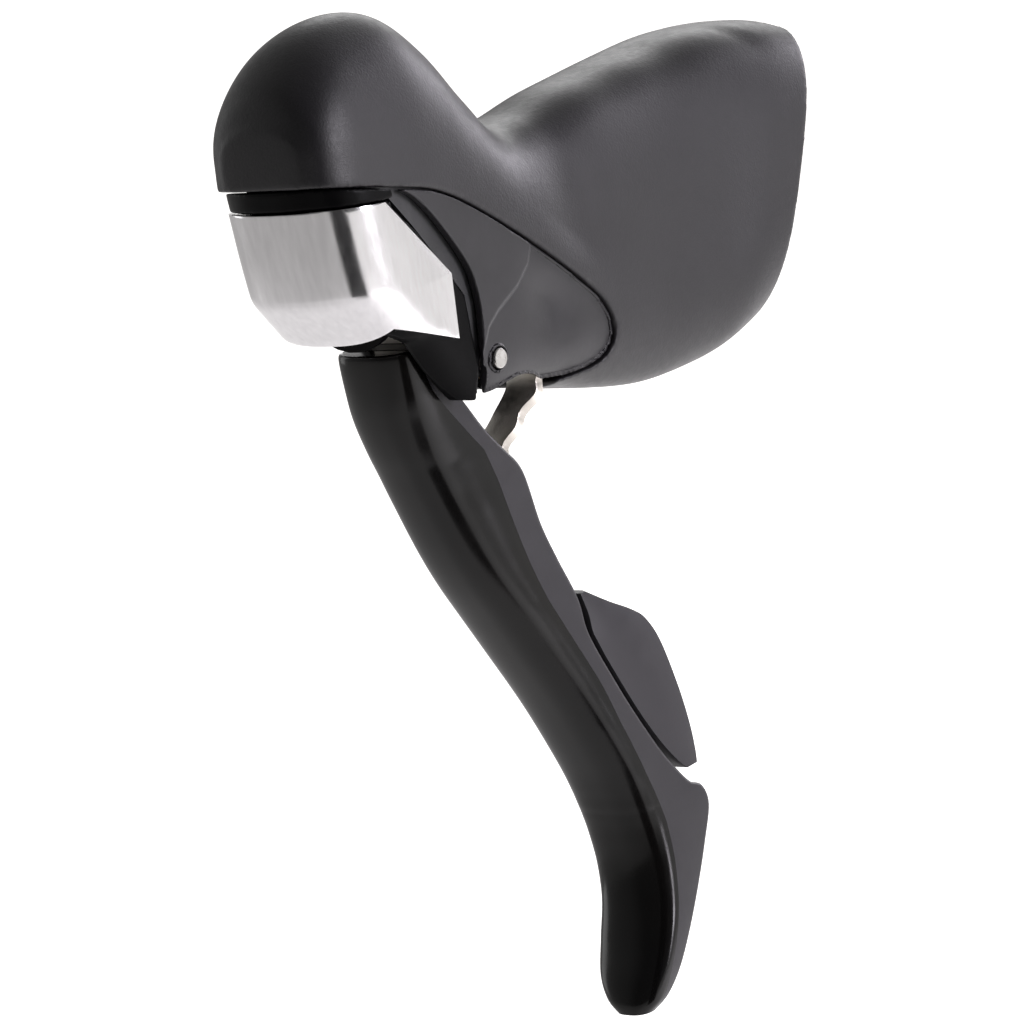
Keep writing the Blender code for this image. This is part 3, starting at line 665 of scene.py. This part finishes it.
# shallow hollows along the hood's top: (y, x), spread (y, x), depth
HOOD_DENTS = (((-9.0, 5.0), (8.0, 7.0), 0.7), ((13.0, 6.0), (6.0, 8.0), 0.5),
              ((-24.0, 4.0), (7.0, 8.0), 0.4))
# soft hollows down each side, behind the lever head: (y, z), spread, depth
SIDE_HOLLOWS = (((-46.5, 8.0), (7.5, 12.0), 0.9), ((-56.5, -6.0), (6.0, 7.0), 1.0))


def rim_fade(point):
    """0 on the hood's rear rim and the bar's opening, 1 a few millimetres away from them."""
    (top_y, top_z), (low_y, low_z), _ = HOOD_SECTIONS[0]
    along_rim = Vector((0.0, top_y - low_y, top_z - low_z)).normalized()
    ahead = Vector((0.0, -along_rim.z, along_rim.y))
    from_bar = point - on_bar(0, -BAR_BEND, 0)
    clear = (from_bar - BAR_UP * from_bar.dot(BAR_UP)).length - BAR_RADIUS
    return (ease((point - Vector((0.0, top_y, top_z))).dot(ahead), 1.0, 6.0)
            * ease(clear, 1.0, 5.0))


def side_hollow(point, normal):
    """Depth of the hollows that run over the hood's side and the side cover."""
    if normal.x * point.x < 0 or abs(normal.x) < 0.4 or point.y < -75.0:
        return 0.0
    from_seam = ease(abs(line_distance((point.y, point.z), HOOD_EDGE)), 0.5, 7.0)
    return from_seam * ease(abs(normal.x), 0.4, 0.8) * sum(
        depth * dent(point.y, point.z, centre, spread) for centre, spread, depth in SIDE_HOLLOWS)


def hood_relief(point, normal):
    depth = side_hollow(point, normal)
    if normal.z > 0.25 and point.y > -45.0:
        share = ease(normal.z, 0.25, 0.7)
        depth += share * sum(deep * dent(point.y, point.x, centre, spread)
                             for centre, spread, deep in HOOD_DENTS)
    return -depth * rim_fade(point)


def bent_bar(radius):
    """The handlebar, which curves back above and below the clamp."""
    heights = [step * 5.0 for step in range(-12, 13)]
    centres = [on_bar(0, -BAR_BEND - up * up / (2 * BEND_RADIUS), up) for up in heights]
    return loft("bent_bar", [ring_points(centre, BAR_UP, radius, 72) for centre in centres])


def make_hood():
    hood = hood_solid("hood_skin", 0.0, rim=0.9)
    cut(hood, hood_solid("inside", HOOD_WALL, INSIDE_STEPS, INSIDE_SIDES, rear_reach=6.0))
    cut(hood, side_prism("front", front_of(spline(HOOD_EDGE, EDGE_STEPS))))
    cut(hood, bent_bar(BAR_RADIUS + 0.4))
    remesh(hood, HOOD_VOXEL, 8)
    push(hood, hood_relief)
    seat(hood, "bracket", RUBBER, "hood_rubber", "hood")


def cover_relief(point, normal):
    """The panel in front of the fold lies a little below the cheek round the pin."""
    if abs(normal.x) < 0.5 or normal.x * point.x < 0:
        return 0.0
    fold = 0.55 * ease(line_distance((point.y, point.z), COVER_FOLD), -0.4, 0.4)
    return -fold - side_hollow(point, normal)


def moved_in(line, distance):
    """A polyline of (y, z), moved to the right of its own direction."""
    moved = []
    for index, (y, z) in enumerate(line):
        before, after = line[max(index - 1, 0)], line[min(index + 1, len(line) - 1)]
        dy, dz = after[0] - before[0], after[1] - before[1]
        length = math.hypot(dy, dz)
        moved.append((y + dz / length * distance, z - dy / length * distance))
    return moved


def make_side_cover(name, side):
    cover = hood_solid(name + "_skin", COVER_SINK)
    cut(cover, hood_solid("inside", BRACKET_INSET - GAP, INSIDE_STEPS, INSIDE_SIDES))
    seam = [point for point in spline(HOOD_EDGE, EDGE_STEPS) if point[0] > -89.0]
    outline = moved_in(seam, COVER_GAP)
    outline += reversed(spline(COVER_LOW, 4))
    outline += reversed(spline(COVER_EDGE, 3))
    low, high = (COVER_INSIDE, 30.0) if side > 0 else (-30.0, -COVER_INSIDE)
    common(cover, side_prism("outline", outline, low, high))
    cut(cover, box("swing_room", (-FRONT_LIP_INSIDE, -95.0, -20.0), (FRONT_LIP_INSIDE, -76.2, 4.0)))
    cut(cover, lever_hole(PIN_END_RADIUS + 0.35))
    remesh(cover, COVER_VOXEL, 4)
    push(cover, cover_relief)
    seat(cover, "bracket", COVER, "bracket_composite", name)


# the trim, seen from the side
TRIM_OUTLINE = ((-120.0, 23.0), (-104.0, 22.7), (-93.2, 21.2), (-90.9, 21.0), (-90.9, 22.4),
                (-104.0, 26.2), (-120.0, 26.3))


def make_front_trim():
    trim = head_solid("front_trim_skin", 0.3)
    common(trim, side_prism("outline", TRIM_OUTLINE))
    collar = head_solid("collar", 3.2)
    common(collar, box("slab", (-30.0, -120.0, 20.8), (30.0, -91.5, 30.0)))
    join(trim, collar)
    remesh(trim, TRIM_VOXEL, 3)
    seat(trim, "bracket", BLACK, "bracket_composite", "front_trim")


def make_lever_pin():
    half, shoulder = PIN_HALF_LENGTH, COVER_INSIDE - 0.4
    middle = [(half - shoulder, PIN_RADIUS), (half + shoulder, PIN_RADIUS)]
    profile = [(0.0, PIN_END_RADIUS - PIN_CHAMFER), (PIN_CHAMFER, PIN_END_RADIUS),
               (half - shoulder, PIN_END_RADIUS), *middle, (half + shoulder, PIN_END_RADIUS),
               (2 * half - PIN_CHAMFER, PIN_END_RADIUS), (2 * half, PIN_END_RADIUS - PIN_CHAMFER)]
    pin = turned("lever_pin_turned", (-half, PIN_Y, PIN_Z), (1, 0, 0), profile)
    seat(pin, "bracket", STEEL, "steel", "lever_pin", angle=40)


# ---------------------------------------------------------------- lever head

# the name plate, seen from the side
PLATE_OUTLINE = ((-120.0, 22.7), (-104.0, 22.4), (-93.4, 20.9), (-87.6, 13.4), (-81.2, 5.2),
                 (-82.6, -5.6), (-95.6, 0.0), (-98.6, -2.2), (-120.0, -1.0))


def make_name_plate():
    plate = head_solid("name_plate_formed", 0.0)
    cut(plate, head_solid("inside", PLATE_WALL, rear=-60.0))
    common(plate, side_prism("outline", PLATE_OUTLINE))
    cut(plate, box("swing_room", (-20.0, -95.0, -30.0), (-8.0, -60.0, 2.0)))
    cut(plate, plate_screw_hole(1.7))
    bevel(plate, 0.18, 2, 50.0)
    seat(plate, "brake_lever", SILVER, "satin_silver", "name_plate", angle=30)


def plate_screw_hole(radius):
    return rod("hole", (-25.0, PLATE_SCREW_Y, PLATE_SCREW_Z), (-8.0, PLATE_SCREW_Y, PLATE_SCREW_Z),
               radius)


# the housing, seen from the side
HOUSING_OUTLINE = ((-120.0, 20.4), (-91.4, 20.4), (-85.6, 13.6), (-77.4, 0.4), (-77.6, -12.0),
                   (-79.4, -17.4), (-82.4, -16.4), (-84.6, -13.6), (-87.3, -9.6), (-90.4, -4.0),
                   (-97.0, 0.5), (-120.0, 2.5))


def make_unit_housing():
    housing = head_solid("unit_housing_moulded", PLATE_WALL + GAP)
    cut(housing, head_solid("inside", PLATE_WALL + GAP + HOUSING_WALL, rear=-60.0))
    common(housing, side_prism("outline", HOUSING_OUTLINE))
    roof = head_solid("roof", PLATE_WALL + GAP + 0.1)
    common(roof, box("slab", (-30.0, -120.0, 19.0), (30.0, -90.3, 20.3)))
    join(housing, roof)
    cut(housing, box("swing_room", (-20.0, -97.0, -30.0), (0.0, -60.0, -0.6)))
    cut(housing, box("blade_room", (-20.0, -97.0, -30.0), (9.2, -60.0, -3.0)))
    cut(housing, plate_screw_hole(1.5))
    remesh(housing, HOUSING_VOXEL, 4)
    seat(housing, "brake_lever", BLACK, "gloss_black", "unit_housing")


# ---------------------------------------------------------------- blade and paddle

BLADE_STEPS = 7
ARC_COUNT = 61
FACE_POWER = 0.85
FACE_WALL = 0.8
FACE_SEAM = 0.03
# z, and how far the face reaches back round the left side
FACE_WRAP = ((-120.0, 0.8), (-109.0, 0.9), (-99.0, 1.6), (-90.0, 1.2), (-80.0, 1.8), (-72.0, 3.0),
             (-55.5, 4.2), (-44.0, 6.4), (-33.0, 8.2), (-27.0, 8.4), (-21.5, 6.0), (-14.0, 2.4),
             (-7.0, 0.8))


def blade_rows():
    return spline(BLADE_SECTIONS, BLADE_STEPS)


def side_wrap(z):
    """How far the gloss face reaches back round the blade's left side."""
    return max(0.3, along_line(FACE_WRAP, z))


def face_depths(width, reach):
    """The face's depth ahead of its right edge and ahead of its left edge."""
    right = BLADE_BULGE * min(1.0, width / 8.0)
    return right, reach + BLADE_EDGE + right


def side_lean(width, reach):
    """How far the rounded left side lies inward where it meets the front."""
    _, depth = face_depths(width, reach)
    sine = (reach / depth) ** (1 / FACE_POWER)
    return width * (1 - (1 - sine * sine) ** (FACE_POWER / 2))


def face_arc(width, flare, edge, reach, z):
    """Rounded front of the blade, from its left side's seam to its right edge."""
    arc = []
    right_depth, left_depth = face_depths(width, reach)
    for step in range(ARC_COUNT):
        angle = math.pi * step / (ARC_COUNT - 1)
        cosine, sine = math.cos(angle), math.sin(angle)
        out = abs(sine) ** FACE_POWER
        y = edge + reach - out * left_depth if cosine > 0 else edge - BLADE_EDGE - out * right_depth
        arc.append((flare + math.copysign(abs(cosine) ** FACE_POWER, cosine) * width, y, z))
    return arc


def make_blade_face():
    loops = []
    for z, front, _, width, flare in blade_rows():
        reach = side_wrap(z)
        inner = flare + width - side_lean(width, reach) - FACE_WALL
        loops.append([*face_arc(width, flare, front, reach, z), (flare - width, front, z),
                      (inner, front, z), (inner, front + reach, z)])
    face = loft("blade_face_gloss", loops)
    seat(face, "shift_lever", GLOSS, "gloss_black", "blade_face", angle=45)


def rounded_corner(left, rear, radius, z, steps=5):
    """From a blade's rear face round to its left face."""
    turns = [math.pi / 2 * step / steps for step in range(steps + 1)]
    return [(left - radius + radius * math.sin(turn), rear - radius + radius * math.cos(turn), z)
            for turn in turns]


def make_blade_core():
    """Web behind the face, with a flange along the outer side."""
    loops = []
    for z, front, rear, width, flare in blade_rows():
        start = front + FACE_SEAM
        web = min(start + BLADE_WEB, rear - 0.8)
        left, right = flare + width, flare - width
        seam = start + side_wrap(z)
        under = left - side_lean(width, side_wrap(z)) - FACE_WALL - FACE_SEAM
        inner = left - FLANGE_WALL
        solid_share = min(1.0, max(0.0, (-94.0 - z) / 3.0))
        step_y = web + (rear - web) * 0.5 * solid_share
        loops.append([(left, seam, z), (under, seam, z), (under, start, z), (right, start, z),
                      (right, web, z),
                      (inner - 1.0, step_y, z), (inner, step_y, z), (inner, rear - 0.4, z),
                      (inner + 0.4, rear, z), *rounded_corner(left, rear, 1.1, z)])
    core = loft("blade_core_cast", loops)
    seat(core, "shift_lever", GREY, "matte_grey", "blade_core", angle=50)


def arm_loops(extra, wave=0.0, steps=ARM_STEPS):
    """Sections of the release arm, grown by extra, with waves along its outer edge."""
    loops = []
    rows = spline(RELEASE_ARM, steps)
    for index, (x, y, z, half) in enumerate(rows):
        before, after = rows[max(index - 1, 0)], rows[min(index + 1, len(rows) - 1)]
        along = Vector((0.0, after[1] - before[1], after[2] - before[2])).normalized()
        normal = Vector((0.0, -along.z, along.y)) * (ARM_WALL / 2 + extra)
        middle = Vector((x, y, z))
        reach = half + extra + wave * math.sin(z * EDGE_WAVE_RATE)
        loops.append([middle + Vector((-half - extra, 0, 0)) - normal,
                      middle + Vector((reach, 0, 0)) - normal,
                      middle + Vector((reach, 0, 0)) + normal,
                      middle + Vector((-half - extra, 0, 0)) + normal])
    return loops


def make_release_plate():
    plate = rod("release_plate_pressed", *(on_axle(y) for y in RELEASE_ARM_Y),
                RELEASE_HUB_RADIUS)
    join(plate, loft("arm", arm_loops(0.0, EDGE_WAVE)))
    cut(plate, axle_hole(AXLE_RADIUS + GAP))
    bevel(plate, 0.15, 2, 40.0)
    seat(plate, "release_lever", PRESSED, "steel", "release_plate", angle=35)


def make_release_paddle():
    loops = []
    for z, front, rear, flare in spline(PADDLE_SECTIONS, PADDLE_STEPS):
        left, right = flare + PADDLE_OUTSIDE, flare + PADDLE_INSIDE
        front -= PADDLE_CLOSE
        loops.append([(left, front, z), (right, front, z), (right, rear - 0.9, z),
                      (right + 1.2, rear, z), (left - 1.0, rear, z), (left, rear - 0.6, z)])
    paddle = loft("release_paddle_moulded", loops)
    cut(paddle, loft("arm_slot", arm_loops(GAP)))
    bevel(paddle, 0.22, 2, 40.0)
    seat(paddle, "release_lever", PADDLE, "matte_grey", "release_paddle", angle=50)


# ---------------------------------------------------------------- carried-over nodes

FINISHES = {
    COMPOSITE: ("bracket_body",),
    STEEL: ("clamp_band", "clamp_bolt", "clamp_washer", "brake_cable_seat", "shift_cable_seat",
            "reach_screw", "plate_screw", "shift_axle", "axle_nut", "axle_spacer", "pawl_post",
            "blade_rivet_upper", "blade_rivet_lower", "cable_hook"),
    PRESSED: ("main_lever_plate", "winding_pawl", "ratchet_wheel", "holding_pawl"),
    SPRING: ("brake_return_spring", "main_lever_spring", "release_spring"),
    BRASS: ("bush_left", "bush_right"),
    BLACK: ("lever_carrier", "position_plate", "cable_drum"),
}


def finish_nodes():
    for finish, names in FINISHES.items():
        for name in names:
            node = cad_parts[name]
            node.data.materials.clear()
            node.data.materials.append(finish)


# ---------------------------------------------------------------- studio

FLOOR_DROP = 0.30
FLOOR_REACH = 12.0
FLOOR_GLOW = (0.18, 1.05)
WORLD_GLOW = (0.10, 0.60)
CAMERA_SIDE = 42.0
CAMERA_AZIMUTH = math.radians(CAMERA_SIDE)
CAMERA_ELEVATION = math.radians(14.0)
CAMERA_ROLL = math.radians(12.0)
CAMERA_DISTANCE = 1.0
FOCAL_RATIO = 5.859375      # focal length over the sensor's width
SENSOR = 36.0
AIM = Vector((14.8, -73.0, -12.0))      # the pin's outer end, which sits near the middle
AIM_RIGHT, AIM_UP = -1.5, 25.667
WHITE = (1.0, 1.0, 1.0)
COOL = (1.0, 0.965, 1.045)
# name, azimuth, elevation, distance, width, height, power, colour
SOFTBOXES = (
    ("key", 106.0, 12.0, 1.3, 0.30, 0.75, 12.0, COOL),
    ("far_side", 166.0, 14.0, 1.3, 0.45, 0.6, 8.0, COOL),
    ("rear", 205.0, 24.0, 1.6, 1.0, 0.5, 6.0, WHITE),
    ("left", -75.0, 10.0, 1.6, 0.5, 1.0, 2.0, WHITE),
)


def make_camera():
    azimuth, elevation, roll = CAMERA_AZIMUTH, CAMERA_ELEVATION, CAMERA_ROLL
    back = Vector((math.sin(azimuth) * math.cos(elevation),
                   -math.cos(azimuth) * math.cos(elevation), math.sin(elevation)))
    level = Vector((math.cos(azimuth), math.sin(azimuth), 0.0))
    upright = back.cross(level)
    right = level * math.cos(roll) - upright * math.sin(roll)
    up = upright * math.cos(roll) + level * math.sin(roll)
    place = DATUM + (AIM - right * AIM_RIGHT - up * AIM_UP) * MM + back * CAMERA_DISTANCE
    data = bpy.data.cameras.new("camera")
    data.sensor_width = SENSOR
    data.lens = SENSOR * FOCAL_RATIO
    camera = bpy.data.objects.new("camera", data)
    camera.matrix_world = Matrix((
        (right.x, up.x, back.x, place.x), (right.y, up.y, back.y, place.y),
        (right.z, up.z, back.z, place.z), (0.0, 0.0, 0.0, 1.0)))
    bpy.context.scene.collection.objects.link(camera)
    bpy.context.scene.camera = camera


def facing(azimuth):
    """Level direction from the lever towards azimuth: 0 is ahead of it, 90 on its left."""
    turn = math.radians(azimuth)
    return Vector((math.sin(turn), -math.cos(turn), 0.0))


def along(tree, coordinate, direction):
    """How far a place or direction reaches along a level direction."""
    made = tree.nodes.new("ShaderNodeVectorMath")
    made.operation = "DOT_PRODUCT"
    made.inputs[1].default_value = direction
    tree.links.new(coordinate, made.inputs[0])
    return made.outputs["Value"]


def make_floor():
    """A pale table with its own glow, weaker to both sides and ahead of the lever."""
    low = cad_low.z - FLOOR_DROP
    mesh = bpy.data.meshes.new("floor")
    mesh.from_pydata([(x * FLOOR_REACH, y * FLOOR_REACH, low)
                      for x, y in ((-1, -1), (1, -1), (1, 1), (-1, 1))], [], [(0, 1, 2, 3)])
    floor = bpy.data.objects.new("floor", mesh)
    pale = bpy.data.materials.new("floor")
    pale.use_nodes = True
    tree = pale.node_tree
    shader = tree.nodes["Principled BSDF"]
    shader.inputs["Base Color"].default_value = (0.88, 0.87, 0.86, 1.0)
    shader.inputs["Roughness"].default_value = 0.9
    shader.inputs["Emission Color"].default_value = (1.0, 0.985, 0.97, 1.0)
    place = tree.nodes.new("ShaderNodeTexCoord").outputs["Object"]
    sideways = along(tree, place, facing(CAMERA_SIDE + 90))
    strip = multiply(tree, ramp(tree, sideways, -0.85, -0.34, 0.0, 1.0),
                     ramp(tree, sideways, 0.34, 1.0, 1.0, 0.55))
    near = ramp(tree, along(tree, place, facing(CAMERA_SIDE + 108)), -0.1, 0.35, 0.2, 1.0)
    glow = ramp(tree, multiply(tree, strip, near), 0.0, 1.0, *FLOOR_GLOW)
    tree.links.new(glow, shader.inputs["Emission Strength"])
    mesh.materials.append(pale)
    bpy.context.scene.collection.objects.link(floor)


def make_flag(name, azimuth, distance, width, low, high):
    """A black card that keeps one direction dark in the polished faces."""
    away, across = facing(azimuth), facing(azimuth + 90)
    corners = [away * distance + across * side * width / 2 + Vector((0, 0, z))
               for side, z in ((-1, low), (1, low), (1, high), (-1, high))]
    mesh = bpy.data.meshes.new(name)
    mesh.from_pydata(corners, [], [(0, 1, 2, 3)])
    card = bpy.data.objects.new(name, mesh)
    black = bpy.data.materials.new(name)
    black.use_nodes = True
    shader = black.node_tree.nodes["Principled BSDF"]
    shader.inputs["Base Color"].default_value = (0.01, 0.01, 0.01, 1.0)
    shader.inputs["Roughness"].default_value = 0.9
    mesh.materials.append(black)
    card.visible_camera = False
    bpy.context.scene.collection.objects.link(card)


def softbox(name, azimuth, elevation, distance, width, height, power, colour):
    """A soft area light that looks at the lever from azimuth (0 is its front, 90 its left)."""
    turn, rise = math.radians(azimuth), math.radians(elevation)
    away = Vector((math.sin(turn) * math.cos(rise), -math.cos(turn) * math.cos(rise),
                   math.sin(rise)))
    data = bpy.data.lights.new(name, "AREA")
    data.shape = "RECTANGLE"
    data.size, data.size_y = width, height
    data.energy = power
    data.color = colour
    light = bpy.data.objects.new(name, data)
    light.location = (cad_low + cad_high) / 2 + away * distance
    light.rotation_euler = away.to_track_quat("Z", "Y").to_euler()
    bpy.context.scene.collection.objects.link(light)


def make_studio():
    world = bpy.data.worlds.new("studio")
    bpy.context.scene.world = world
    world.use_nodes = True
    tree = world.node_tree
    background = tree.nodes["Background"]
    background.inputs["Color"].default_value = (1.0, 0.99, 0.985, 1.0)
    way = tree.nodes.new("ShaderNodeTexCoord").outputs["Generated"]
    glow = ramp(tree, along(tree, way, facing(CAMERA_SIDE + 180)), -0.4, 0.9, *WORLD_GLOW)
    tree.links.new(glow, background.inputs["Strength"])
    for light in SOFTBOXES:
        softbox(*light)
    make_flag("side_flag", 138.0, 0.8, 0.40, 0.03, 0.9)
    make_flag("flag", CAMERA_SIDE, 0.7, 0.40, cad_low.z - FLOOR_DROP, 1.0)
    bpy.context.scene.view_settings.view_transform = "Standard"


make_hood()
make_side_cover("side_cover_left", 1)
make_side_cover("side_cover_right", -1)
make_front_trim()
make_lever_pin()
make_name_plate()
make_unit_housing()
make_blade_face()
make_blade_core()
make_release_plate()
make_release_paddle()
finish_nodes()
make_camera()
make_floor()
make_studio()
